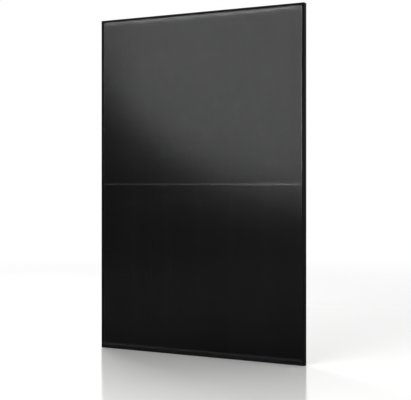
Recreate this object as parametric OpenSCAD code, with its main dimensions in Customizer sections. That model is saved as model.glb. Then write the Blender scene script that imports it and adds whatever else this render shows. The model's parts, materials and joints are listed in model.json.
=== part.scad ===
// Framed photovoltaic module of half-cut cells, drawn upright with one short edge down.
// Each sub-part is drawn with the module lying on its back, glass up: X across, Y along the
// long sides and Z from the rear face of the frame to its front face. stand() then puts it
// upright: the glass faces -Y, the long sides run along Z, and the origin is on the rear face
// of the frame, midway between the slots that bolt it to its rails. The outer size follows
// from the cells, the gaps and the margins.

/* [Cells] */
// Width of a half cell
cell_width = 182; // [125:1:220]
// Height of a half cell, across its sawn edge
cell_height = 91; // [60:0.5:110]
// Thickness of a cell
cell_thickness = 0.18; // [0.12:0.01:0.24]
// Leg of the cut corners on the edge of a half cell that isn't sawn
cell_chamfer = 7; // [1:0.5:12]
// Cells along each half of a column
rows_per_half = 9; // [6:1:12]
// Gap between columns
column_gap = 2; // [1:0.5:6]
// Gap between the cells of a column
row_gap = 0.8; // [0.5:0.1:3]
// Gap between the upper and the lower half
middle_gap = 12; // [9:0.5:30]
// From the outer face of a long side to the cells
side_margin = 16; // [13:0.5:40]
// From the outer face of a short side to the cells
end_margin = 29.6; // [22:0.2:60]

/* [Wires and ribbons] */
// Wires across each cell
wires_per_cell = 10; // [5:1:16]
// Width of a wire
wire_width = 0.28; // [0.2:0.02:0.5]
// Thickness of a wire
wire_thickness = 0.2; // [0.1:0.02:0.24]
// Width of the ribbons that collect the wires
ribbon_width = 6; // [3:0.5:7]
// Thickness of those ribbons
ribbon_thickness = 0.3; // [0.25:0.01:0.36]

/* [Laminate] */
// Thickness of the front glass
glass_thickness = 3.2; // [2:0.1:5]
// Thickness of each encapsulant sheet
encapsulant_thickness = 0.45; // [0.4:0.05:0.8]
// Thickness of the backsheet
backsheet_thickness = 0.32; // [0.2:0.02:0.6]
// From the edge of the laminate to the frame's wall, filled with sealant
edge_gap = 1.5; // [0.5:0.1:3]
// Sealant between the laminate and each side of the frame's slot
seal_gap = 0.5; // [0.3:0.1:1]

/* [Frame] */
// Depth of the frame from front to rear
frame_depth = 30; // [25:1:50]
// Thickness of the outer wall
wall = 1.5; // [1.1:0.1:2]
// Thickness of the inner wall of the hollow chamber
chamber_wall = 1.2; // [0.9:0.1:2]
// Width of the lip over the glass
lip_width = 11; // [8:0.5:12.5]
// Thickness of the lip and of the shelf under the laminate
lip_thickness = 1.5; // [1.1:0.1:2]
// Width of the hollow chamber, with both walls
chamber_width = 12; // [10:0.5:15]
// Width of the rear flange of a long side
long_flange = 33; // [31:1:45]
// Width of the rear flange of a short side
short_flange = 24; // [22:1:40]
// Thickness of the rear flanges
flange_thickness = 1.6; // [1.2:0.1:2.5]
// Radius of the long edges of the extrusion
edge_radius = 0.7; // [0.3:0.1:0.7]
// Length of each leg of a corner key
key_leg = 60; // [30:1:90]
// Play of a corner key in the chamber, on each side
key_play = 0.15; // [0.05:0.05:0.4]

/* [Holes in the frame] */
// Width of a mounting slot
slot_width = 9; // [6:0.5:11]
// Length of a mounting slot
slot_length = 14; // [12:0.5:24]
// From the outer face of a long side to the mounting slots
slot_line = 24; // [20:0.5:25]
// From the end of a long side to its outer slots
outer_slot_inset = 161; // [100:1:250]
// From the end of a long side to its inner slots
inner_slot_inset = 366; // [270:1:450]
// Diameter of an earthing hole
earth_hole = 4.2; // [3:0.1:6]
// From the end of a long side to its earthing holes
earth_hole_inset = 600; // [480:1:640]
// Width of a drain slot
drain_width = 4; // [2:0.5:6]
// Length of a drain slot
drain_length = 10; // [7:0.5:16]
// From the end of a side to its drain slots
drain_inset = 62; // [45:1:80]

/* [Junction boxes] */
// Length of a junction box across the module
box_length = 66; // [58:1:84]
// Width of a junction box along the module
box_width = 50; // [40:1:70]
// Room in a junction box over its cable outlet, under the lid
box_headroom = 1; // [0.4:0.1:2.5]
// Thickness of the walls and the floor
box_wall = 1.8; // [1.4:0.1:2.2]
// How far the foot stands out around a box
foot = 4; // [2:0.5:8]
// Thickness of the adhesive under a box
adhesive = 1; // [0.6:0.1:1.6]
// Thickness of the lid
lid_thickness = 1.6; // [1.2:0.1:2.2]
// Play between the lid's skirt and the walls
lid_play = 0.15; // [0.05:0.05:0.4]
// Diameter of the cable that the outlets take
cable_diameter = 6; // [5:0.1:7.2]

/* [Rating plate] */
// Length of the rating plate
plate_length = 110; // [60:1:160]
// Width of the rating plate
plate_width = 70; // [40:1:100]
// Thickness of the rating plate
plate_thickness = 0.15; // [0.1:0.05:0.4]

/* [Hidden] */
$fn = 48;
SIDES = ["left", "right", "top", "bottom"];
CORNERS = ["bottom_left", "bottom_right", "top_right", "top_left"];
BOXES = ["left", "middle", "right"];
HALVES = ["upper", "lower"];

// Each junction box guards two columns.
columns = 2 * len(BOXES);
column_pitch = cell_width + column_gap;
row_pitch = cell_height + row_gap;
half_string = rows_per_half * row_pitch - row_gap;
module_width = columns * column_pitch - column_gap + 2 * side_margin;
module_length = 2 * half_string + middle_gap + 2 * end_margin;
middle = module_length / 2;

// Heights above the rear face of the frame, from the front down.
glass_front = frame_depth - lip_thickness - seal_gap;
glass_rear = glass_front - glass_thickness;
cell_front = glass_rear - encapsulant_thickness;
cell_rear = cell_front - cell_thickness;
ribbon_rear = cell_front - ribbon_thickness;
backsheet_front = cell_rear - encapsulant_thickness;
backsheet_rear = backsheet_front - backsheet_thickness;
shelf = backsheet_rear - seal_gap;
chamber_top = shelf - lip_thickness;
laminate_inset = wall + edge_gap;

// Corner keys.
key_barbs = 8;
barb_height = 0.3;
key_pockets = 3;
key_web = 3;

// Wires: the distance to a cell's edge where they bend between two cells, how far they stop
// short of the far edge of a cell, and half the gap between the ends that meet in the middle.
bend_clearance = 0.1;
wire_stop = 3;
wire_end_gap = 0.3;
bend_run = 1.2;
ribbon_offset = 4;
ribbon_end_inset = 6;
tail_x = 4;
tail_lap = 7;
slit_play = 0.6;

// Junction box, from the rear face of the backsheet outwards.
inner_length = box_length - 2 * box_wall;
inner_width = box_width - 2 * box_wall;
box_floor = adhesive + box_wall;
terminal_thickness = 0.8;
terminal_top = box_floor + terminal_thickness;
terminal_width = 28;
terminal_start = 5.5;
terminal_end = inner_length / 2 - 3;
post_x = 13;
post_width = 9;
post_cap = 2;
diode_radius = 3.6;
diode_length = 9;
diode_cover = 0.4;
lead_radius = 0.6;
lead_overhang = 2;

// The window in a box's floor that the ribbon tails come in by.
window_length = 2 * (tail_x + ribbon_thickness + slit_play);
window_width = ribbon_width + slit_play;
window_margin = 3;

// Lid: its skirt, its four tongues with their catches, and the grooves in its top.
skirt = 1.5;
skirt_depth = 1.6;
catch_pitch = 26;
catch_width = 5;
catch_height = 2;
catch_reach = 1;
tongue_width = 9;
tongue_thickness = 1.3;
tongue_length = 6.5;
tongue_foot = 1.5;
groove_width = 2;
groove_depth = 0.6;
groove_inset = 10;

// Cable outlet: a boss on the box wall, a rubber seal in it and a nut over both. The nut
// starts just past the foot.
outlet_y = 11;
cable_hole = cable_diameter / 2;
outlet_play = 0.4;
seal_wall = 1.4;
seal_length = 8;
boss_wall = 1.2;
boss_length = 12;
boss_radius = cable_hole + seal_wall + boss_wall;
nut_wall = 1.2;
nut_play = 0.1;
nut_cap = 2;
nut_ribs = 10;
rib_width = 1.6;
rib_height = 0.5;
rib_inset = 2;
nut_clearance = 0.5;
nut_radius = boss_radius + nut_play + nut_wall;
nut_start = box_length / 2 + foot + nut_clearance;
nut_length = box_length / 2 + boss_length + nut_cap - nut_start;

// The cable and the diode share one height, clear of the backsheet and of the terminals.
axis_height = max(terminal_top + ribbon_thickness + diode_cover + diode_radius,
                  nut_radius + rib_height + nut_clearance);
potting_top = axis_height + diode_radius + diode_cover;
box_top = axis_height + boss_radius + box_headroom;

// Crimped barrel of the cable's terminal.
barrel_radius = cable_hole - 0.4;
barrel_length = 8;
barrel_wall = 0.7;
barrel_floor = 1;
web = 3;

plate_x = 190;
plate_drop = 160;

function column_x(c) = (c - (columns + 1) / 2) * column_pitch;
function box_x(b) = (b - (len(BOXES) - 1) / 2) * 2 * column_pitch;
function row_y(r) = middle + middle_gap / 2 + (r - 1) * row_pitch;
function has_outlet(b) = b == 0 || b == len(BOXES) - 1;
function wire_x(w) = (w - (wires_per_cell + 1) / 2) * cell_width / wires_per_cell;

// Points of an arc at a corner of an outline whose points are [x, y, radius].
function unit(v) = v / norm(v);
function corner_arc(before, at, after, steps = 4) =
    let (p = [at[0], at[1]],
         a = unit([before[0], before[1]] - p),
         b = unit([after[0], after[1]] - p),
         half = acos(a * b) / 2,
         centre = p + unit(a + b) * at[2] / sin(half),
         from = p + a * at[2] / tan(half) - centre,
         to = p + b * at[2] / tan(half) - centre,
         turn = acos(unit(from) * unit(to)),
         way = from[0] * to[1] - from[1] * to[0] > 0 ? 1 : -1)
    at[2] == 0 ? [p] :
    [for (i = [0:steps]) let (t = way * turn * i / steps)
        centre + [from[0] * cos(t) - from[1] * sin(t), from[0] * sin(t) + from[1] * cos(t)]];
function rounded(points) =
    let (n = len(points))
    [for (i = [0:n - 1])
        each corner_arc(points[(i + n - 1) % n], points[i], points[(i + 1) % n])];

module stand() {
    translate([0, 0, -middle]) rotate([90, 0, 0]) children();
}

// The lower half is the upper half mirrored about the middle of the module.
module in_half(h) {
    if (h == "upper") children();
    else translate([0, module_length, 0]) mirror([0, 1, 0]) children();
}

module sheet(top, thickness) {
    size = [module_width - 2 * laminate_inset, module_length - 2 * laminate_inset, thickness];
    translate([-size[0] / 2, laminate_inset, top - thickness]) cube(size);
}

// A slot along X with round ends, through a plate whose rear face is at height 0.
module slot(length, width, depth) {
    translate([0, 0, -1]) linear_extrude(depth + 2) {
        square([length - width, width], center = true);
        for (x = [-1, 1]) translate([x * (length - width) / 2, 0]) circle(d = width);
    }
}

/* ---- Laminate ---- */

module front_glass() {
    color([0.62, 0.7, 0.72, 0.35]) sheet(glass_front, glass_thickness);
}

// Grooves that the wires press into an encapsulant sheet, from one outer ribbon to the other.
module wire_grooves(top, depth) {
    length = 2 * half_string + middle_gap + 2 * (ribbon_offset + ribbon_width);
    for (c = [1:columns]) for (w = [1:wires_per_cell])
        translate([column_x(c) + wire_x(w) - wire_width / 2, middle - length / 2, top - depth])
            cube([wire_width, length, depth]);
}

module front_encapsulant() {
    color([0.8, 0.82, 0.84, 0.4]) difference() {
        sheet(glass_rear, encapsulant_thickness);
        wire_grooves(cell_front + wire_thickness, wire_thickness);
    }
}

// The slits where the ribbon tails leave the laminate.
module tail_slits(top, depth) {
    for (b = [0:len(BOXES) - 1]) for (side = [-1, 1])
        translate([box_x(b) + side * (tail_x + ribbon_thickness / 2), middle, top - depth / 2])
            cube([ribbon_thickness + slit_play, ribbon_width + slit_play, depth], center = true);
}

// Each half column of cells and each ribbon sinks into the rear sheet.
module rear_encapsulant() {
    color([0.1, 0.1, 0.11]) difference() {
        sheet(cell_front, cell_front - backsheet_front);
        for (h = HALVES) in_half(h) for (c = [1:columns])
            translate([column_x(c) - cell_width / 2, row_y(1), cell_rear])
                cube([cell_width, half_string, cell_thickness]);
        for (h = HALVES) in_half(h) outer_ribbons();
        for (span = middle_spans()) middle_ribbon_run(span);
        wire_grooves(cell_front, cell_front - ribbon_rear + wire_thickness);
        tail_slits(cell_front, cell_front - backsheet_front);
    }
}

module backsheet() {
    color([0.05, 0.05, 0.055]) difference() {
        sheet(backsheet_front, backsheet_thickness);
        tail_slits(backsheet_front, backsheet_thickness);
    }
}

/* ---- Cells, wires and ribbons ---- */

// A half cell stands on the X axis. Its cut corners are on its upper or on its lower edge.
module half_cell(cut_above) {
    k = cell_chamfer;
    w = cell_width / 2;
    h = cell_height;
    outline = cut_above
        ? [[-w, 0], [w, 0], [w, h - k], [w - k, h], [k - w, h], [-w, h - k]]
        : [[k - w, 0], [w - k, 0], [w, k], [w, h], [-w, h], [-w, k]];
    linear_extrude(cell_thickness) polygon(outline);
}

// The cut corners of neighbouring cells meet at every second gap.
module cell_string(h, c) {
    color([0.03, 0.035, 0.05]) in_half(h) for (r = [1:rows_per_half])
        translate([column_x(c), row_y(r), cell_rear]) half_cell(r % 2 == 1);
}

// A wire drawn from its path of [y, height of its front face].
module wire(path) {
    n = len(path);
    back = [for (i = [1:n]) path[n - i] - [0, wire_thickness]];
    rotate([90, 0, 90]) linear_extrude(wire_width, center = true) polygon(concat(path, back));
}

// Height of a wire's front face on the front or on the rear of a cell, or behind a ribbon.
function wire_level(front) = front ? cell_front + wire_thickness : cell_rear;
function landing_level(front) = front ? cell_front + wire_thickness : ribbon_rear;

// From one cell over the gap to the other face of the next one outwards.
function link_path(r, front_first) =
    let (edge = row_y(r) + cell_height, a = wire_level(front_first), b = wire_level(!front_first))
    [[row_y(r) + wire_stop, a], [edge + bend_clearance, a],
     [edge + row_gap - bend_clearance, b], [row_y(r + 1) + cell_height - wire_stop, b]];

// From the first cell to the ribbon in the middle, and from the last cell to the outer one.
function inner_path(front) =
    let (a = landing_level(front), b = wire_level(front), edge = row_y(1))
    [[middle + wire_end_gap, a], [edge - bend_run - bend_clearance, a],
     [edge - bend_clearance, b], [edge + cell_height - wire_stop, b]];
function outer_path(front) =
    let (a = wire_level(front), b = landing_level(front), edge = row_y(1) + half_string)
    [[edge - cell_height + wire_stop, a], [edge + bend_clearance, a],
     [edge + bend_clearance + bend_run, b], [edge + ribbon_offset + ribbon_width - wire_end_gap, b]];

// Neighbouring columns run opposite ways, so their wires change faces the other way round.
module column_wires(c) {
    odd = c % 2 == 1;
    color([0.55, 0.56, 0.58]) for (h = HALVES) in_half(h) for (w = [1:wires_per_cell])
        translate([column_x(c) + wire_x(w), 0, 0]) {
            wire(inner_path(!odd));
            for (r = [1:rows_per_half - 1]) wire(link_path(r, odd));
            wire(outer_path(odd));
        }
}

// The outer ribbons join the columns in pairs, beyond the last cells of the upper half.
module outer_ribbons() {
    for (b = [0:len(BOXES) - 1])
        translate([box_x(b) - column_pitch + ribbon_end_inset, row_y(1) + half_string + ribbon_offset,
                   ribbon_rear])
            cube([2 * (column_pitch - ribbon_end_inset), ribbon_width, ribbon_thickness]);
}

module outer_bus_ribbons(h) {
    color([0.16, 0.16, 0.17]) in_half(h) outer_ribbons();
}

// The middle ribbons run from box to box: [left end, right end], each end at a tail or free.
function middle_spans() =
    let (last = len(BOXES) - 1, half = column_pitch - ribbon_end_inset)
    concat([[box_x(0) - half, box_x(0) - tail_x]],
           [for (b = [0:last - 1]) [box_x(b) + tail_x, box_x(b + 1) - tail_x]],
           [[box_x(last) + tail_x, box_x(last) + half]]);

module middle_ribbon_run(span) {
    translate([span[0], middle - ribbon_width / 2, ribbon_rear])
        cube([span[1] - span[0], ribbon_width, ribbon_thickness]);
}

// A tail goes straight back through the laminate and folds outwards over its terminal.
module ribbon_tail(b, side) {
    t = ribbon_thickness;
    fold = backsheet_rear - terminal_top - t;
    outline = [[0, cell_front], [t, cell_front], [t, fold + t], [tail_lap, fold + t],
               [tail_lap, fold], [0, fold]];
    translate([box_x(b) + side * tail_x, middle, 0]) mirror([side < 0 ? 1 : 0, 0, 0])
        rotate([90, 0, 0]) linear_extrude(ribbon_width, center = true) polygon(outline);
}

module middle_bus_ribbons() {
    color([0.16, 0.16, 0.17]) {
        for (span = middle_spans()) middle_ribbon_run(span);
        for (b = [0:len(BOXES) - 1]) for (side = [-1, 1]) ribbon_tail(b, side);
    }
}

/* ---- Frame ---- */

// Section of a frame side: X inwards from the outer face, Y from the rear face to the front.
module frame_section(flange) {
    r = edge_radius;
    outline = rounded([
        [0, 0, r], [flange, 0, r], [flange, flange_thickness, r],
        [chamber_width, flange_thickness, r], [chamber_width, shelf, r / 2], [wall, shelf, 0],
        [wall, frame_depth - lip_thickness, 0], [lip_width, frame_depth - lip_thickness, 0],
        [lip_width, frame_depth, r], [0, frame_depth, r]
    ]);
    hollow = [
        [wall, flange_thickness], [chamber_width - chamber_wall, flange_thickness],
        [chamber_width - chamber_wall, chamber_top], [wall, chamber_top]
    ];
    difference() {
        polygon(outline);
        polygon(hollow);
    }
}

// A side along X, from its mitre at the origin, with its outer face on the X axis.
module mitred_side(length, flange) {
    intersection() {
        rotate([90, 0, 90]) linear_extrude(length) frame_section(flange);
        translate([0, 0, -1]) linear_extrude(frame_depth + 2)
            polygon([[0, 0], [length, 0], [length - flange, flange], [flange, flange]]);
    }
}

module drains(length, flange) {
    for (x = [drain_inset, length - drain_inset])
        translate([x, (chamber_width + flange) / 2, 0])
            slot(drain_length, drain_width, flange_thickness);
}

module long_side() {
    color([0.06, 0.06, 0.065]) difference() {
        mitred_side(module_length, long_flange);
        drains(module_length, long_flange);
        for (inset = [outer_slot_inset, inner_slot_inset]) for (x = [inset, module_length - inset])
            translate([x, slot_line, 0]) slot(slot_length, slot_width, flange_thickness);
        for (x = [earth_hole_inset, module_length - earth_hole_inset])
            translate([x, slot_line, -1]) cylinder(d = earth_hole, h = flange_thickness + 2);
    }
}

module short_side() {
    color([0.06, 0.06, 0.065]) difference() {
        mitred_side(module_width, short_flange);
        drains(module_width, short_flange);
    }
}

module frame_side(s) {
    x = module_width / 2;
    if (s == "left") translate([-x, module_length, 0]) rotate(-90) long_side();
    if (s == "right") translate([x, 0, 0]) rotate(90) long_side();
    if (s == "top") translate([x, module_length, 0]) rotate(180) short_side();
    if (s == "bottom") translate([-x, 0, 0]) short_side();
}

// One leg of a corner key along X, with barbs towards both walls of the chamber and pockets.
module key_arm(width) {
    pitch = (key_leg - width) / key_barbs;
    pocket = (key_leg - width - key_web) / key_pockets;
    low = [for (i = [0:key_barbs - 1])
        each [[width + i * pitch, 0], [width + (i + 1) * pitch, barb_height]]];
    high = [for (i = [1:key_barbs])
        each [[key_leg + (1 - i) * pitch, width - barb_height], [key_leg - i * pitch, width]]];
    difference() {
        polygon(concat([[0, 0]], low, high, [[0, width]]));
        for (i = [0:key_pockets - 1]) translate([width + key_web + i * pocket, width / 3])
            square([pocket - key_web, width / 3]);
    }
}

module corner_key(corner) {
    width = chamber_width - chamber_wall - wall - 2 * key_play;
    inset = wall + key_play;
    x = module_width / 2;
    place = [[-x, 0], [x, 0], [x, module_length], [-x, module_length]][corner];
    color([0.72, 0.73, 0.75]) translate([place[0], place[1], flange_thickness + key_play])
        rotate(90 * corner) translate([inset, inset, 0])
            linear_extrude(chamber_top - flange_thickness - 2 * key_play) {
                key_arm(width);
                mirror([1, -1, 0]) key_arm(width);
            }
}

// One bead all round, between the slot of the frame and the edge of the laminate.
module edge_sealant() {
    outer = [module_width - 2 * wall, module_length - 2 * wall];
    module window(inset, low, high) {
        size = [module_width - 2 * inset, module_length - 2 * inset, high - low];
        translate([-size[0] / 2, inset, low]) cube(size);
    }
    color([0.09, 0.09, 0.09]) difference() {
        translate([-outer[0] / 2, wall, shelf]) cube([outer[0], outer[1], glass_front + seal_gap - shelf]);
        sheet(glass_front, glass_front - backsheet_rear);
        window(lip_width, glass_front, glass_front + seal_gap + 1);
        window(chamber_width, shelf - 1, backsheet_rear);
    }
}

/* ---- Junction boxes ---- */

// Height in a box runs from the rear face of the backsheet outwards.
module in_box(b) {
    translate([box_x(b), middle, backsheet_rear]) rotate([180, 0, 0]) children();
}

// The side of a box that its cable leaves by faces +X, or -X on the left box.
module outlet_way(b) {
    mirror([b == 0 ? 1 : 0, 0, 0]) translate([0, outlet_y, axis_height]) rotate([0, 90, 0]) children();
}

module block(length, width, low, high) {
    translate([-length / 2, -width / 2, low]) cube([length, width, high - low]);
}

// What a cable takes up, from the floor of its barrel to the open.
module cable_room(b) {
    if (has_outlet(b)) outlet_way(b) {
        translate([0, 0, terminal_end - barrel_length + barrel_floor])
            cylinder(r = barrel_radius - barrel_wall, h = barrel_length);
        translate([0, 0, terminal_end])
            cylinder(r = cable_hole + outlet_play, h = box_length + boss_length);
    }
}

module box_adhesive(b) {
    color([0.12, 0.12, 0.12]) in_box(b) difference() {
        block(box_length + 2 * foot, box_width + 2 * foot, 0, adhesive);
        block(window_length + 2 * window_margin, window_width + 2 * window_margin, -1, adhesive + 1);
    }
}

module box_housing(b) {
    color([0.07, 0.07, 0.075]) in_box(b) difference() {
        union() {
            difference() {
                union() {
                    block(box_length + 2 * foot, box_width + 2 * foot, adhesive, box_floor);
                    block(box_length, box_width, adhesive, box_top);
                }
                block(inner_length, inner_width, box_floor, box_top + 1);
            }
            for (x = [-1, 1]) for (y = [-1, 1])
                translate([x * catch_pitch / 2, y * box_width / 2, 0]) catch(y);
            if (has_outlet(b)) outlet_way(b) translate([0, 0, box_length / 2 - box_wall])
                cylinder(r = boss_radius, h = box_wall + boss_length);
        }
        block(window_length, window_width, adhesive - 1, box_floor + 1);
        cable_room(b);
        if (has_outlet(b)) outlet_way(b) translate([0, 0, box_length / 2 + boss_length - seal_length])
            cylinder(r = cable_hole + seal_wall, h = seal_length + 1);
    }
}

// A wedge on the wall that the lid's tongue snaps over. side is the way it faces.
module catch(side) {
    low = box_top - tongue_length + tongue_foot;
    outline = [[0, low], [catch_reach, low], [0, low + catch_height]];
    mirror([0, side < 0 ? 1 : 0, 0]) rotate([90, 0, 90])
        linear_extrude(catch_width, center = true) polygon(outline);
}

// A tongue of the lid, with the window that holds the catch.
module tongue(side) {
    low = box_top - tongue_length;
    mirror([0, side < 0 ? 1 : 0, 0]) difference() {
        union() {
            translate([-tongue_width / 2, 0, low])
                cube([tongue_width, tongue_thickness, tongue_length + lid_thickness]);
            translate([-tongue_width / 2, -2 * lid_play, box_top])
                cube([tongue_width, 2 * lid_play, lid_thickness]);
        }
        translate([-catch_width / 2 - lid_play, -1, low + tongue_foot - lid_play])
            cube([catch_width + 2 * lid_play, tongue_thickness + 2, catch_height + 2 * lid_play]);
    }
}

module box_lid(b) {
    skirt_size = [inner_length - 2 * lid_play, inner_width - 2 * lid_play];
    color([0.07, 0.07, 0.075]) in_box(b) difference() {
        union() {
            block(box_length, box_width, box_top, box_top + lid_thickness);
            difference() {
                block(skirt_size[0], skirt_size[1], box_top - skirt_depth, box_top + lid_thickness / 2);
                block(skirt_size[0] - 2 * skirt, skirt_size[1] - 2 * skirt, 0, box_top);
            }
            for (x = [-1, 1]) for (y = [-1, 1])
                translate([x * catch_pitch / 2, y * (box_width / 2 + lid_play), 0]) tongue(y);
        }
        for (i = [-2:2]) translate([i * box_length / 8, 0, 0])
            block(groove_width, box_width - 2 * groove_inset,
                  box_top + lid_thickness - groove_depth, box_top + lid_thickness + 1);
    }
}

// A copper plate with a post for the diode's lead. side is the way it faces.
module terminal_plate(side) {
    mirror([side < 0 ? 1 : 0, 0, 0]) difference() {
        union() {
            translate([terminal_start, -terminal_width / 2, box_floor])
                cube([terminal_end - terminal_start, terminal_width, terminal_thickness]);
            translate([post_x, -post_width / 2, box_floor])
                cube([terminal_thickness, post_width, axis_height + post_cap - box_floor]);
        }
        translate([post_x + terminal_thickness / 2, 0, axis_height]) rotate([0, 90, 0])
            cylinder(r = lead_radius, h = 3 * terminal_thickness, center = true);
    }
}

// The barrel that a cable's bare end is crimped into, on a web that stands on the plate.
module cable_barrel(b) {
    outlet_way(b) translate([0, 0, terminal_end - barrel_length]) {
        cylinder(r = barrel_radius, h = barrel_length);
        translate([0, -web / 2, 0]) cube([axis_height - box_floor, web, barrel_length]);
    }
}

module box_terminals(b) {
    color([0.75, 0.48, 0.3]) in_box(b) {
        for (side = [-1, 1]) terminal_plate(side);
        if (has_outlet(b)) difference() {
            cable_barrel(b);
            cable_room(b);
        }
    }
}

module box_diode(b) {
    color([0.04, 0.04, 0.04]) in_box(b) translate([0, 0, axis_height]) rotate([0, 90, 0]) {
        cylinder(r = diode_radius, h = diode_length, center = true);
        cylinder(r = lead_radius, h = 2 * (post_x + lead_overhang), center = true);
    }
}

// The potting fills a box round all that it holds, up to just over the diode.
module box_potting(b) {
    color([0.14, 0.14, 0.14]) difference() {
        in_box(b) block(inner_length, inner_width, box_floor, potting_top);
        box_terminals(b);
        box_diode(b);
        for (side = [-1, 1]) ribbon_tail(b, side);
        in_box(b) cable_room(b);
    }
}

module outlet_seal(b) {
    color([0.1, 0.1, 0.1]) in_box(b) outlet_way(b)
        translate([0, 0, box_length / 2 + boss_length - seal_length]) difference() {
            cylinder(r = cable_hole + seal_wall, h = seal_length);
            translate([0, 0, -1]) cylinder(r = cable_hole, h = seal_length + 2);
        }
}

module outlet_nut(b) {
    color([0.07, 0.07, 0.075]) in_box(b) difference() {
        outlet_way(b) translate([0, 0, nut_start]) difference() {
            union() {
                cylinder(r = nut_radius, h = nut_length);
                for (i = [0:nut_ribs - 1]) rotate(i * 360 / nut_ribs)
                    translate([nut_radius - rib_height, -rib_width / 2, 0])
                        cube([2 * rib_height, rib_width, nut_length - rib_inset]);
            }
            translate([0, 0, -1]) cylinder(r = boss_radius + nut_play, h = nut_length - nut_cap + 1);
        }
        cable_room(b);
    }
}

// A blank plate on the backsheet.
module rating_plate() {
    color([0.75, 0.76, 0.77])
        translate([plate_x - plate_length / 2, middle - plate_drop, backsheet_rear - plate_thickness])
            cube([plate_length, plate_width, plate_thickness]);
}

/* ---- The nodes ---- */

stand() front_glass();
stand() front_encapsulant();
stand() rear_encapsulant();
stand() backsheet();
for (h = HALVES) for (c = [1:columns])
    stand() cell_string(h, c);
for (c = [1:columns])
    stand() column_wires(c);
stand() outer_bus_ribbons("upper");  // bus_ribbons_top
stand() outer_bus_ribbons("lower");  // bus_ribbons_bottom
stand() middle_bus_ribbons();  // bus_ribbons_middle
stand() edge_sealant();
for (s = SIDES)
    stand() frame_side(s);
for (i = [0:len(CORNERS) - 1])
    stand() corner_key(i);
for (b = [0:len(BOXES) - 1]) {
    stand() box_adhesive(b);
    stand() box_housing(b);
    stand() box_terminals(b);
    stand() box_diode(b);
    stand() box_potting(b);
    stand() box_lid(b);
    if (has_outlet(b)) {
        stand() outlet_seal(b);
        stand() outlet_nut(b);
    }
}
stand() rating_plate();
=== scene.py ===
import json
import math
import bmesh
import bpy
from mathutils import Euler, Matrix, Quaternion, Vector


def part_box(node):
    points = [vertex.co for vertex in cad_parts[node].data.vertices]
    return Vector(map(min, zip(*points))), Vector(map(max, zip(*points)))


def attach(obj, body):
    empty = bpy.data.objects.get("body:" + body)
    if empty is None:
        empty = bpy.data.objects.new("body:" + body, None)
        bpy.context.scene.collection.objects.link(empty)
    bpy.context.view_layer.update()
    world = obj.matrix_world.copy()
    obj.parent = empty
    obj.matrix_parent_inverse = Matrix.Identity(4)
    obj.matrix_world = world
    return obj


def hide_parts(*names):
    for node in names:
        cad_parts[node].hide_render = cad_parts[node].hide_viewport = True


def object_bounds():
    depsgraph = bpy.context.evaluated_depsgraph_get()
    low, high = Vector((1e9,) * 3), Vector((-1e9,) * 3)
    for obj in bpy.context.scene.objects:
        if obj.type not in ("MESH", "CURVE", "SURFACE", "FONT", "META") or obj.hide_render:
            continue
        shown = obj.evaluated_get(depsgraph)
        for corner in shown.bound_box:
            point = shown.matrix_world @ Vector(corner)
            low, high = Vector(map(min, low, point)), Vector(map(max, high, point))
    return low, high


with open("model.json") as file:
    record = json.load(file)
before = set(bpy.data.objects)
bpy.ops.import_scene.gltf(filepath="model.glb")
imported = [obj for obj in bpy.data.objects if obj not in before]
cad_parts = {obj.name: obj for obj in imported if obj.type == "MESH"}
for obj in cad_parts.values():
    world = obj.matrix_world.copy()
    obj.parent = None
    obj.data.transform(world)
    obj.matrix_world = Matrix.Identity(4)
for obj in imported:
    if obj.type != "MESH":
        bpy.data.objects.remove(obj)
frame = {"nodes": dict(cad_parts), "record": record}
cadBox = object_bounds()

# A framed solar module of half-cut cells, upright on its short edge. Metres, the glass faces -Y.
print("frame loaded:", len(frame["nodes"]), "nodes")

millimetre = 0.001
scene = bpy.context.scene
scene.view_settings.view_transform = "Standard"
scene.view_settings.look = "None"
middle = (cadBox[0] + cadBox[1]) / 2
ground = cadBox[0].z


def linearColour(code):
    # "#rrggbb" as sRGB, turned linear, with alpha 1
    channels = [int(code[i:i + 2], 16) / 255 for i in (1, 3, 5)]
    return [c / 12.92 if c <= 0.04045 else ((c + 0.055) / 1.055) ** 2.4 for c in channels] + [1]


def addNode(material, kind, settings=None, links=None):
    # settings are socket values or node properties, links go from an output to a socket; a socket
    # goes by its name, or by its number where several share one
    node = material.node_tree.nodes.new("ShaderNode" + kind)
    for key, value in (settings or {}).items():
        if isinstance(key, int) or key in node.inputs:
            node.inputs[key].default_value = value
        else:
            setattr(node, key, value)
    for socket, source in (links or {}).items():
        material.node_tree.links.new(source, node.inputs[socket])
    return node


# Camera: level, a little right of the module and turned back to it. Places are from its middle.
view = {
    "place": (2.083, -4.116, 0),
    "turn": 26.415,         # degrees to the left of straight at the glass
    "lens": 80.5,           # mm
    "sensor": 36,           # mm wide
    "shiftUp": -0.0385,
}


def placeCamera():
    camera = bpy.data.objects.new("camera", bpy.data.cameras.new("camera"))
    scene.collection.objects.link(camera)
    camera.location = middle + Vector(view["place"])
    camera.rotation_euler = Euler((math.pi / 2, 0, math.radians(view["turn"])))
    camera.data.lens = view["lens"]
    camera.data.sensor_width = view["sensor"]
    camera.data.shift_y = view["shiftUp"]
    scene.camera = camera


# Pale lacquered floor: white, with a soft mirror image that is strongest at a low angle. For every
# ray but the camera's it is plain grey, so that the glass has something darker to mirror.
floorLook = {
    "reach": 250,
    "sides": 96,
    "colour": "#f3f3f2",
    "bounceColour": "#a0a0a0",
    "roughness": 0.135,
    "IOR": 1.5,
    "gloss": 1.57,          # times what a bare surface of that IOR would mirror
    "fadeStart": 1.2,       # metres from the module's middle, past which it turns to plain white
    "fadeEnd": 7,
}


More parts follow.
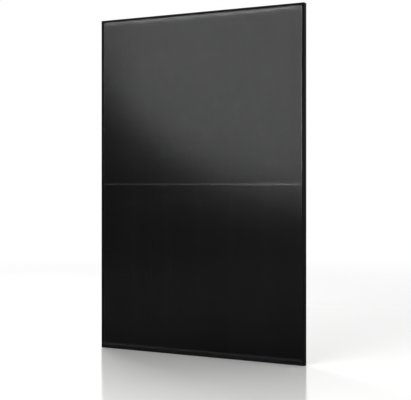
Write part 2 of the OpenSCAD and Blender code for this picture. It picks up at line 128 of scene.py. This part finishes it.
def makeFloor():
    mesh = bmesh.new()
    bmesh.ops.create_circle(mesh, cap_ends=True, segments=floorLook["sides"],
                            radius=floorLook["reach"])
    bmesh.ops.translate(mesh, vec=(0, 0, ground), verts=mesh.verts)
    floor = bpy.data.objects.new("floor", bpy.data.meshes.new("floor"))
    mesh.to_mesh(floor.data)
    mesh.free()
    scene.collection.objects.link(floor)
    material = bpy.data.materials.new("pale glossy floor")
    material.use_nodes = True
    material.node_tree.nodes.clear()
    path = addNode(material, "LightPath")
    byCamera = path.outputs["Is Camera Ray"]
    colour = addNode(material, "MixRGB", {"Color1": linearColour(floorLook["bounceColour"]),
                                          "Color2": linearColour(floorLook["colour"])},
                     {"Fac": byCamera})
    diffuse = addNode(material, "BsdfDiffuse", links={"Color": colour.outputs["Color"]})
    gloss = addNode(material, "BsdfGlossy", {"Roughness": floorLook["roughness"]})
    slant = addNode(material, "Fresnel", {"IOR": floorLook["IOR"]})
    share = addNode(material, "Math", {"operation": "MULTIPLY", "use_clamp": True,
                                       1: floorLook["gloss"]}, {0: slant.outputs[0]})
    mirrored = addNode(material, "Math", {"operation": "MULTIPLY"}, {0: share.outputs[0], 1: byCamera})
    near = addNode(material, "MixShader", links={0: mirrored.outputs[0], 1: diffuse.outputs[0],
                                                 2: gloss.outputs[0]})
    far = addNode(material, "Emission", {"Color": (1, 1, 1, 1)})
    place = addNode(material, "TexCoord")
    distance = addNode(material, "VectorMath", {"operation": "LENGTH"}, {0: place.outputs["Object"]})
    fade = addNode(material, "MapRange", {"interpolation_type": "SMOOTHSTEP",
                                          "From Min": floorLook["fadeStart"],
                                          "From Max": floorLook["fadeEnd"]},
                   {"Value": distance.outputs["Value"]})
    seen = addNode(material, "Math", {"operation": "MULTIPLY"}, {0: fade.outputs["Result"], 1: byCamera})
    whole = addNode(material, "MixShader", links={0: seen.outputs[0], 1: near.outputs[0],
                                                  2: far.outputs[0]})
    addNode(material, "OutputMaterial", links={"Surface": whole.outputs[0]})
    floor.data.materials.append(material)


room = {
    "behind": 1.12,         # how bright the backdrop is that the back of the module faces
    "inFront": 0.47,        # and the room that its glass faces
    "blend": 0.5,           # how far round to each side one turns into the other
}
softboxes = {
    "round softbox in front": {"shape": "ELLIPSE", "place": (-1.02, -4.6, 1.6),
                               "aim": (0.62, 0, 0.769), "size": (4.5, 3.4), "power": 325,
                               "roll": -3},
    "softbox behind": {"shape": "RECTANGLE", "place": (-3.6, 2.7, 1.5),
                       "aim": (0, 0, 0), "size": (1.6, 2.2), "power": 140,
                       "roll": 0},
}


def lightWorld():
    # white to the eye; a lit backdrop behind the module and a dimmer room in front of its glass
    world = bpy.data.worlds.new("studio")
    world.use_nodes = True
    world.node_tree.nodes.clear()
    place = addNode(world, "TexCoord")
    axes = addNode(world, "SeparateXYZ", links={"Vector": place.outputs["Generated"]})
    side = addNode(world, "MapRange", {"From Min": -room["blend"], "From Max": room["blend"],
                                       "To Min": room["inFront"], "To Max": room["behind"]},
                   {"Value": axes.outputs["Y"]})
    path = addNode(world, "LightPath")
    strength = addNode(world, "Mix", {"data_type": "FLOAT", "B": 1.0},
                       {"Factor": path.outputs["Is Camera Ray"], "A": side.outputs["Result"]})
    background = addNode(world, "Background", {"Color": (1, 1, 1, 1)},
                         {"Strength": strength.outputs["Result"]})
    addNode(world, "OutputWorld", links={"Surface": background.outputs[0]})
    scene.world = world


def addSoftbox(name, look):
    # places and sizes in metres from the module's middle, power in watts, roll in degrees
    lamp = bpy.data.objects.new(name, bpy.data.lights.new(name, "AREA"))
    lamp.data.shape = look["shape"]
    lamp.data.size, lamp.data.size_y = look["size"]
    lamp.data.energy = look["power"]
    lamp.location = middle + Vector(look["place"])
    towards = Vector(look["aim"]) - Vector(look["place"])
    turned = towards.to_track_quat("-Z", "Y") @ Quaternion((0, 0, 1), math.radians(look["roll"]))
    lamp.rotation_euler = turned.to_euler()
    lamp.visible_camera = False
    scene.collection.objects.link(lamp)


placeCamera()
makeFloor()
lightWorld()
for name, look in softboxes.items():
    addSoftbox(name, look)
print("camera, floor and light are set")

noiseDetail = 3
noiseRange = (0.3, 0.7)     # nearly all of the noise lies between these


def makeSurface(name, look):
    # a material whose colour, gloss and relief all vary with one noise; grain and relief in mm
    material = bpy.data.materials.new(name)
    material.use_nodes = True
    shader = material.node_tree.nodes["Principled BSDF"]
    for socket, value in look.get("sockets", {}).items():
        shader.inputs[socket].default_value = value
    place = addNode(material, "TexCoord")
    stretched = addNode(material, "Mapping", {"Scale": look.get("stretch", (1, 1, 1))},
                        {"Vector": place.outputs["Object"]})
    noise = addNode(material, "TexNoise", {"Scale": 1 / (look["grain"] * millimetre),
                                           "Detail": noiseDetail},
                    {"Vector": stretched.outputs["Vector"]})
    colour = addNode(material, "MixRGB", {"Color1": linearColour(look["dark"]),
                                          "Color2": linearColour(look["light"])},
                     {"Fac": noise.outputs["Fac"]})
    gloss = addNode(material, "MapRange", {"From Min": noiseRange[0], "From Max": noiseRange[1],
                                           "To Min": look["roughness"][0],
                                           "To Max": look["roughness"][1]},
                    {"Value": noise.outputs["Fac"]})
    relief = addNode(material, "Bump", {"Strength": 1, "Distance": look["relief"] * millimetre},
                     {"Height": noise.outputs["Fac"]})
    for socket, source in (("Base Color", colour.outputs["Color"]),
                           ("Roughness", gloss.outputs["Result"]),
                           ("Normal", relief.outputs["Normal"])):
        material.node_tree.links.new(source, shader.inputs[socket])
    return material


# Low-iron glass, rolled with a satin face, tempered and coated against reflection: nearly clear,
# with a weak mirror image that has soft edges. Its 1 mm rolling texture is drawn 4 mm coarse.
solarGlass = makeSurface("tempered solar glass", {
    "dark": "#000000", "light": "#030405", "roughness": (0.165, 0.19), "grain": 4, "relief": 0.0006,
    "sockets": {"IOR": 1.52},
})
coating = {
    "strength": 0.193,      # how much of the mirror image it leaves
    "depth": 0.1,           # mm behind the foremost point, within which the glass is its front face
}


def coatFront():
    # only the front face meets air: behind it the glass is bonded to the film and reflects nothing
    place = addNode(solarGlass, "TexCoord")
    axes = addNode(solarGlass, "SeparateXYZ", links={"Vector": place.outputs["Object"]})
    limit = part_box("front_glass")[0].y + coating["depth"] * millimetre
    onFront = addNode(solarGlass, "Math", {"operation": "LESS_THAN", 1: limit},
                      {0: axes.outputs["Y"]})
    strength = addNode(solarGlass, "Math", {"operation": "MULTIPLY", 1: coating["strength"]},
                       {0: onFront.outputs[0]})
    shader = solarGlass.node_tree.nodes["Principled BSDF"]
    solarGlass.node_tree.links.new(strength.outputs[0], shader.inputs["Alpha"])


coatFront()

# Ethylene vinyl acetate, melted between the glass and the cells: clear, with no surface of its own.
clearFilm = makeSurface("clear encapsulant", {
    "dark": "#15171a", "light": "#1d2024", "roughness": (0.4, 0.5), "grain": 30, "relief": 0,
    "sockets": {"Alpha": 0.02, "Specular IOR Level": 0.0},
})

# The same with carbon black, pressed flat by the lamination: black with a sheen under the glass.
blackFilm = makeSurface("black encapsulant", {
    "dark": "#111112", "light": "#151515", "roughness": (0.13, 0.17), "grain": 6, "relief": 0.001,
    "sockets": {"Specular IOR Level": 0.14},
})

# The field of cells: columns side by side, and rows above and below the ribbon across the middle.
cellField = {
    "columns": 6,
    "rows": 9,              # in each half
    "rowGap": 0.8,          # mm
}


def cellPitch():
    # from a column to the next, from a row to the next, and the height where the rows start
    first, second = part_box("cell_string_upper_1"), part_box("cell_string_upper_2")
    gap = cellField["rowGap"] * millimetre
    rowPitch = (first[1].z - first[0].z + gap) / cellField["rows"]
    return second[0].x - first[0].x, rowPitch, first[0].z - gap / 2


gapLook = {
    "roughness": 0.5,       # between two rows of cells the film bulges and its sheen is lost
    "reach": 3,             # mm each side of a row gap's middle
    "columnSheenColour": "#242425",  # painted sheen: between two columns the film is painted a shade lighter
}


def finishGaps():
    # within the field only: the bands round it and across its middle keep the plain sheen and colour,
    # while in the field the row gaps are dulled and the film between columns gets a painted sheen
    shader = blackFilm.node_tree.nodes["Principled BSDF"]
    plainColour = shader.inputs["Base Color"].links[0].from_socket
    plainGloss = shader.inputs["Roughness"].links[0].from_socket
    low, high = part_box("cell_string_upper_1")
    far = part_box("cell_string_upper_" + str(cellField["columns"]))[1]
    rowPitch, rowStart = cellPitch()[1:]
    reach = gapLook["reach"] * millimetre
    place = addNode(blackFilm, "TexCoord")
    axes = addNode(blackFilm, "SeparateXYZ", links={"Vector": place.outputs["Object"]})
    height = addNode(blackFilm, "Math", {"operation": "ABSOLUTE"}, {0: axes.outputs["Z"]})
    above = addNode(blackFilm, "Math", {"operation": "SUBTRACT", 1: rowStart}, {0: height.outputs[0]})
    away = addNode(blackFilm, "Math", {"operation": "PINGPONG", 1: rowPitch / 2},
                   {0: above.outputs[0]})
    onGap = addNode(blackFilm, "Math", {"operation": "LESS_THAN", 1: reach}, {0: away.outputs[0]})
    offGap = addNode(blackFilm, "Math", {"operation": "SUBTRACT", 0: 1}, {1: onGap.outputs[0]})
    beside = addNode(blackFilm, "Math", {"operation": "ABSOLUTE"}, {0: axes.outputs["X"]})
    across = addNode(blackFilm, "Math", {"operation": "LESS_THAN", 1: far.x}, {0: beside.outputs[0]})
    along = addNode(blackFilm, "Math", {"operation": "COMPARE", 1: (low.z + high.z) / 2,
                                        2: (high.z - low.z) / 2 - reach}, {0: height.outputs[0]})
    inField = addNode(blackFilm, "Math", {"operation": "MULTIPLY"},
                      {0: across.outputs[0], 1: along.outputs[0]})
    onRow = addNode(blackFilm, "Math", {"operation": "MULTIPLY"},
                    {0: onGap.outputs[0], 1: inField.outputs[0]})
    # painted sheen: over the field, clear of the row gaps, the film is painted lighter, which shows in
    # the gaps between columns
    columnSheenMask = addNode(blackFilm, "Math", {"operation": "MULTIPLY"},
                       {0: offGap.outputs[0], 1: inField.outputs[0]})
    colour = addNode(blackFilm, "MixRGB", {"Color2": linearColour(gapLook["columnSheenColour"])},
                     {"Fac": columnSheenMask.outputs[0], "Color1": plainColour})
    gloss = addNode(blackFilm, "Mix", {"data_type": "FLOAT", "B": gapLook["roughness"]},
                    {"Factor": onRow.outputs[0], "A": plainGloss})
    blackFilm.node_tree.links.new(colour.outputs["Color"], shader.inputs["Base Color"])
    blackFilm.node_tree.links.new(gloss.outputs["Result"], shader.inputs["Roughness"])


finishGaps()

# Black fluoropolymer and polyester sheet, rolled matt. Its 0.3 mm emboss is drawn 1.5 mm coarse.
backFilm = makeSurface("black backsheet", {
    "dark": "#121213", "light": "#19191b", "roughness": (0.34, 0.44), "grain": 1.5, "relief": 0.02,
    "sockets": {"Specular IOR Level": 0.4},
})

# Round copper wire, tinned, darkened to hide and soldered flat to the cells: dull dark grey metal.
tinnedWire = makeSurface("tinned copper wire", {
    "dark": "#1c1c1d", "light": "#29292a", "roughness": (0.45, 0.6), "grain": 3, "relief": 0.004,
    "sockets": {"Metallic": 1.0},
})

# Flat copper ribbon with a dark lacquer, so that it hides: grey against the film.
coatedRibbon = makeSurface("coated copper ribbon", {
    "dark": "#202021", "light": "#242425", "roughness": (0.16, 0.22), "grain": 5, "relief": 0.001,
    "sockets": {"Specular IOR Level": 0.18},
})

# One-part silicone, run from a nozzle and cured in place: black, slightly wavy and satin.
silicone = makeSurface("black silicone", {
    "dark": "#0f0f10", "light": "#161617", "roughness": (0.38, 0.5), "grain": 8, "relief": 0.25,
})

# Extruded aluminium as it comes from the die: bright grey with fine draw lines.
millAluminium = makeSurface("mill aluminium", {
    "dark": "#b6b7ba", "light": "#c8c9cc", "roughness": (0.3, 0.45), "grain": 2, "relief": 0.004,
    "sockets": {"Metallic": 1.0},
})

# PPE plastic, injection moulded in a spark-eroded tool. Its 0.1 mm grain is drawn 0.8 mm coarse.
mouldedPlastic = makeSurface("black moulded plastic", {
    "dark": "#161617", "light": "#1f1f20", "roughness": (0.4, 0.54), "grain": 0.8, "relief": 0.02,
})

# Stamped copper strip: warm metal with faint rolling marks.
bareCopper = makeSurface("bare copper", {
    "dark": "#b87a52", "light": "#cf9468", "roughness": (0.25, 0.4), "grain": 3, "relief": 0.004,
    "sockets": {"Metallic": 1.0},
})

# Epoxy pressed round the diode in a polished tool: black and fairly glossy.
mouldedEpoxy = makeSurface("moulded epoxy", {
    "dark": "#0d0d0d", "light": "#141414", "roughness": (0.25, 0.35), "grain": 2, "relief": 0.004,
})

# Two-part silicone, poured and levelled by itself: smooth, dark grey, with slow waves.
pouredSilicone = makeSurface("poured silicone", {
    "dark": "#161617", "light": "#1c1c1d", "roughness": (0.2, 0.3), "grain": 12, "relief": 0.1,
})

# EPDM rubber, moulded: matt black.
sealRubber = makeSurface("seal rubber", {
    "dark": "#0e0e0e", "light": "#151515", "roughness": (0.6, 0.75), "grain": 1, "relief": 0.02,
    "sockets": {"Specular IOR Level": 0.3},
})
print("plain materials are made")


# Aluminium extrusion, etched, anodised and dyed black: deep black and satin, with faint draw lines
# along its length. The lines are 0.1 mm apart on the real one and are drawn 1.5 mm apart.
def makeAnodised(name, stretch):
    return makeSurface(name, {
        "dark": "#090909", "light": "#0d0d0d", "roughness": (0.38, 0.48), "grain": 1.5,
        "relief": 0.003, "stretch": stretch, "sockets": {"Specular IOR Level": 0.018},
    })


drawLength = 0.01           # how much slower the pattern changes along the extrusion than across it
anodisedUpright = makeAnodised("black anodised aluminium, upright", (1, 1, drawLength))
anodisedLevel = makeAnodised("black anodised aluminium, level", (drawLength, 1, 1))

# Monocrystalline silicon, etched to a field of tiny pyramids, coated blue-black and printed with
# silver fingers across it: near black, each cell a little off its neighbours.
cellLook = {
    "colours": ("#060606", "#0a0a0a"),
    "finger": "#101010",
    "fingerPitch": 1.3,     # mm
    "fingerWidth": 0.08,    # mm, twice the real one so that it shows
    "roughness": 0.45,
    "specular": 0.0,
}


def makeSilicon():
    material = bpy.data.materials.new("textured silicon")
    material.use_nodes = True
    shader = material.node_tree.nodes["Principled BSDF"]
    shader.inputs["Roughness"].default_value = cellLook["roughness"]
    shader.inputs["Specular IOR Level"].default_value = cellLook["specular"]
    columnPitch, rowPitch, rowStart = cellPitch()
    place = addNode(material, "TexCoord")
    axes = addNode(material, "SeparateXYZ", links={"Vector": place.outputs["Object"]})
    column = addNode(material, "Math", {"operation": "SNAP", 1: columnPitch}, {0: axes.outputs["X"]})
    height = addNode(material, "Math", {"operation": "ABSOLUTE"}, {0: axes.outputs["Z"]})
    above = addNode(material, "Math", {"operation": "SUBTRACT", 1: rowStart}, {0: height.outputs[0]})
    row = addNode(material, "Math", {"operation": "SNAP", 1: rowPitch}, {0: above.outputs[0]})
    half = addNode(material, "Math", {"operation": "SIGN"}, {0: axes.outputs["Z"]})
    cell = addNode(material, "CombineXYZ", links={"X": column.outputs[0], "Y": row.outputs[0],
                                                  "Z": half.outputs[0]})
    chance = addNode(material, "TexWhiteNoise", {"noise_dimensions": "3D"},
                     {"Vector": cell.outputs["Vector"]})
    tone = addNode(material, "MixRGB", {"Color1": linearColour(cellLook["colours"][0]),
                                        "Color2": linearColour(cellLook["colours"][1])},
                   {"Fac": chance.outputs["Value"]})
    fingers = addNode(material, "Math", {"operation": "MULTIPLY",
                                         1: 1 / (cellLook["fingerPitch"] * millimetre)},
                      {0: axes.outputs["Z"]})
    within = addNode(material, "Math", {"operation": "FRACT"}, {0: fingers.outputs[0]})
    onFinger = addNode(material, "Math", {"operation": "LESS_THAN",
                                          1: cellLook["fingerWidth"] / cellLook["fingerPitch"]},
                       {0: within.outputs[0]})
    printed = addNode(material, "MixRGB", {"Color2": linearColour(cellLook["finger"])},
                      {"Fac": onFinger.outputs[0], "Color1": tone.outputs["Color"]})
    material.node_tree.links.new(printed.outputs["Color"], shader.inputs["Base Color"])
    return material


# Silver polyester film, printed and laminated: satin grey with blank ruled lines.
plateLook = {
    "film": "#a9abad",
    "line": "#3a3b3d",
    "border": 3,            # mm from the plate's edge to its border line
    "lineWidth": 0.5,       # mm
    "linePitch": 9,         # mm
    "roughness": 0.38,
    "corner": 4,            # mm, the radius it is die-cut to
    "cornerSegments": 6,
}


def makePlateFilm():
    material = bpy.data.materials.new("polyester film")
    material.use_nodes = True
    shader = material.node_tree.nodes["Principled BSDF"]
    shader.inputs["Roughness"].default_value = plateLook["roughness"]
    low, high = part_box("rating_plate")
    halfLine = plateLook["lineWidth"] / 2 * millimetre
    place = addNode(material, "TexCoord")
    axes = addNode(material, "SeparateXYZ", links={"Vector": place.outputs["Object"]})
    edges = []
    for axis, start, stop in (("X", low.x, high.x), ("Z", low.z, high.z)):
        inset = (stop - start) / 2 - plateLook["border"] * millimetre
        moved = addNode(material, "Math", {"operation": "SUBTRACT", 1: (start + stop) / 2},
                        {0: axes.outputs[axis]})
        away = addNode(material, "Math", {"operation": "ABSOLUTE"}, {0: moved.outputs[0]})
        edges.append(addNode(material, "Math", {"operation": "SUBTRACT", 1: inset},
                             {0: away.outputs[0]}))
    outmost = addNode(material, "Math", {"operation": "MAXIMUM"},
                      {0: edges[0].outputs[0], 1: edges[1].outputs[0]})
    onBorder = addNode(material, "Math", {"operation": "COMPARE", 1: 0, 2: halfLine},
                       {0: outmost.outputs[0]})
    rows = addNode(material, "Math", {"operation": "PINGPONG",
                                      1: plateLook["linePitch"] / 2 * millimetre},
                   {0: axes.outputs["Z"]})
    onRow = addNode(material, "Math", {"operation": "LESS_THAN", 1: halfLine}, {0: rows.outputs[0]})
    inside = addNode(material, "Math", {"operation": "LESS_THAN", 1: 0}, {0: outmost.outputs[0]})
    ruled = addNode(material, "Math", {"operation": "MULTIPLY"},
                    {0: onRow.outputs[0], 1: inside.outputs[0]})
    inked = addNode(material, "Math", {"operation": "MAXIMUM"},
                    {0: ruled.outputs[0], 1: onBorder.outputs[0]})
    colour = addNode(material, "MixRGB", {"Color1": linearColour(plateLook["film"]),
                                          "Color2": linearColour(plateLook["line"])},
                     {"Fac": inked.outputs[0]})
    material.node_tree.links.new(colour.outputs["Color"], shader.inputs["Base Color"])
    return material


finishes = {
    "solar_glass": solarGlass, "clear_encapsulant": clearFilm, "black_encapsulant": blackFilm,
    "black_backsheet": backFilm, "silicon_cell": makeSilicon(), "tinned_copper": tinnedWire,
    "coated_ribbon": coatedRibbon, "silicone_sealant": silicone, "black_anodised": anodisedUpright,
    "mill_aluminium": millAluminium, "box_plastic": mouldedPlastic, "bare_copper": bareCopper,
    "diode_epoxy": mouldedEpoxy, "silicone_potting": pouredSilicone, "seal_rubber": sealRubber,
    "plate_film": makePlateFilm(),
}
slots = {part["node"]: part["material_slot"] for part in frame["record"]["subparts"]}
for node, slot in slots.items():
    frame["nodes"][node].data.materials.clear()
    frame["nodes"][node].data.materials.append(finishes[slot])
print("materials are on", len(slots), "nodes")

# What every finished copy shares.
copying = {
    "merge": 0.001,         # mm
    "flat": 0.5,            # degrees, below which two faces are one
    "smooth": 35,           # degrees, above which an edge is drawn sharp
    "round": 40,            # degrees, above which an outward edge gets its radius
}


def weldedCopy(node):
    # the node's solid as one closed mesh with whole faces, where the node has loose triangles
    mesh = bmesh.new()
    mesh.from_mesh(frame["nodes"][node].data)
    bmesh.ops.remove_doubles(mesh, verts=mesh.verts, dist=copying["merge"] * millimetre)
    bmesh.ops.dissolve_limit(mesh, angle_limit=math.radians(copying["flat"]), verts=mesh.verts,
                             edges=mesh.edges)
    return mesh


def addPiece(name, mesh, material, slot, *replaced):
    piece = bpy.data.objects.new(name, bpy.data.meshes.new(name))
    for face in mesh.faces:
        face.smooth = True
    mesh.to_mesh(piece.data)
    mesh.free()
    piece.data.set_sharp_from_angle(angle=math.radians(copying["smooth"]))
    piece.data.materials.append(material)
    scene.collection.objects.link(piece)
    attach(piece, "root")
    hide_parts(*replaced)


# The clear film keeps its pockets, but stands off its neighbours so that no faces coincide.
filmGap = 0.02              # mm
mesh = weldedCopy("front_encapsulant")
bmesh.ops.recalc_face_normals(mesh, faces=mesh.faces)
for vert in mesh.verts:
    vert.co -= vert.normal * filmGap * millimetre
addPiece("front_encapsulant_sheet", mesh, clearFilm, "clear_encapsulant", "front_encapsulant")

# Frame sides with the arrises of their mitre cuts taken off, so that the joints show as fine lines.
mitre = {
    "chamfer": 0.25,        # mm
    "slack": 0.01,          # how far a cut's normal may be off 45 degrees, as a share of its length
}
for side in ("left", "right", "top", "bottom"):
    mesh = weldedCopy("frame_" + side)
    mesh.normal_update()
    cuts = [face for face in mesh.faces if abs(face.normal.y) < mitre["slack"]
            and abs(abs(face.normal.x) - abs(face.normal.z)) < mitre["slack"]]
    rims = {edge for face in cuts for edge in face.edges
            if sum(other in cuts for other in edge.link_faces) == 1}
    bmesh.ops.bevel(mesh, geom=list(rims), offset=mitre["chamfer"] * millimetre, affect="EDGES",
                    segments=1, profile=0.5, material=-1, clamp_overlap=False)
    material = anodisedUpright if side in ("left", "right") else anodisedLevel
    addPiece("frame_side_" + side, mesh, material, "black_anodised", "frame_" + side)
print("frame sides are finished")

# Moulded parts of the junction boxes, with the small radii that the tool leaves on their edges.
boxEdges = {
    "housing": {"radius": 0.5, "shortest": 3},      # mm, and the shortest edge that gets a radius
    "lid": {"radius": 0.12, "shortest": 0},
    "nut": {"radius": 0.15, "shortest": 0},
}


def softened(node, look):
    # a closed copy with its outward sharp edges rounded
    mesh = weldedCopy(node)
    mesh.normal_update()
    rims = [edge for edge in mesh.edges if len(edge.link_faces) == 2
            and edge.calc_length() > look["shortest"] * millimetre
            and edge.calc_face_angle_signed() > math.radians(copying["round"])]
    bmesh.ops.bevel(mesh, geom=rims, offset=look["radius"] * millimetre, affect="EDGES",
                    segments=2, profile=0.5, material=-1, clamp_overlap=False)
    return mesh


for place in ("left", "middle", "right"):
    for part in ("housing", "lid"):
        node = "junction_box_" + part + "_" + place
        addPiece(part + "_moulding_" + place, softened(node, boxEdges[part]), mouldedPlastic,
                 "box_plastic", node)
for place in ("left", "right"):
    node = "outlet_nut_" + place
    addPiece("nut_moulding_" + place, softened(node, boxEdges["nut"]), mouldedPlastic,
             "box_plastic", node)
print("junction boxes are finished")

# Rating plate cut with round corners, as die-cut film is.
mesh = weldedCopy("rating_plate")
corners = [edge for edge in mesh.edges
           if abs(edge.verts[0].co.y - edge.verts[1].co.y) > edge.calc_length() / 2]
bmesh.ops.bevel(mesh, geom=corners, offset=plateLook["corner"] * millimetre, affect="EDGES",
                segments=plateLook["cornerSegments"], profile=0.5, material=-1)
addPiece("rating_plate_film", mesh, finishes["plate_film"], "plate_film", "rating_plate")

# Backsheet pressed in the laminator: it sinks a little into the gaps between the cells.
pressed = {
    "depth": 0.12,          # mm
    "reach": 2.5,           # mm from the middle of a gap to where the sheet is flat again
    "near": 0.05,           # mm, within which a point is on a gap's middle
    "flush": 0.01,          # mm, within which a point is on a cut or on the rear face
}


def gapPlaces():
    # the middles of the gaps between columns, and between the rows of cells of both halves
    columnPitch, rowPitch, rowStart = cellPitch()
    most = cellField["columns"] // 2 - 1
    columns = [k * columnPitch for k in range(-most, most + 1)]
    rows = [rowStart + k * rowPitch for k in range(cellField["rows"] + 1)]
    return {0: columns, 2: rows + [-row for row in rows]}


def pressedSheet():
    mesh = weldedCopy("backsheet")
    rear = max(vert.co.y for vert in mesh.verts)
    gaps = gapPlaces()
    reach = pressed["reach"] * millimetre
    for axis, places in gaps.items():
        across = Vector([index == axis for index in range(3)])
        for place in places:
            for cut in (place - reach, place, place + reach):
                bmesh.ops.bisect_plane(mesh, geom=mesh.verts[:] + mesh.edges[:] + mesh.faces[:],
                                       dist=pressed["flush"] * millimetre, plane_co=across * cut,
                                       plane_no=across)
    for vert in mesh.verts:
        onGap = any(abs(vert.co[axis] - place) < pressed["near"] * millimetre
                    for axis, places in gaps.items() for place in places)
        if onGap and rear - vert.co.y < pressed["flush"] * millimetre:
            vert.co.y -= pressed["depth"] * millimetre
    return mesh


addPiece("backsheet_pressed", pressedSheet(), backFilm, "black_backsheet", "backsheet")
print("backsheet is finished")
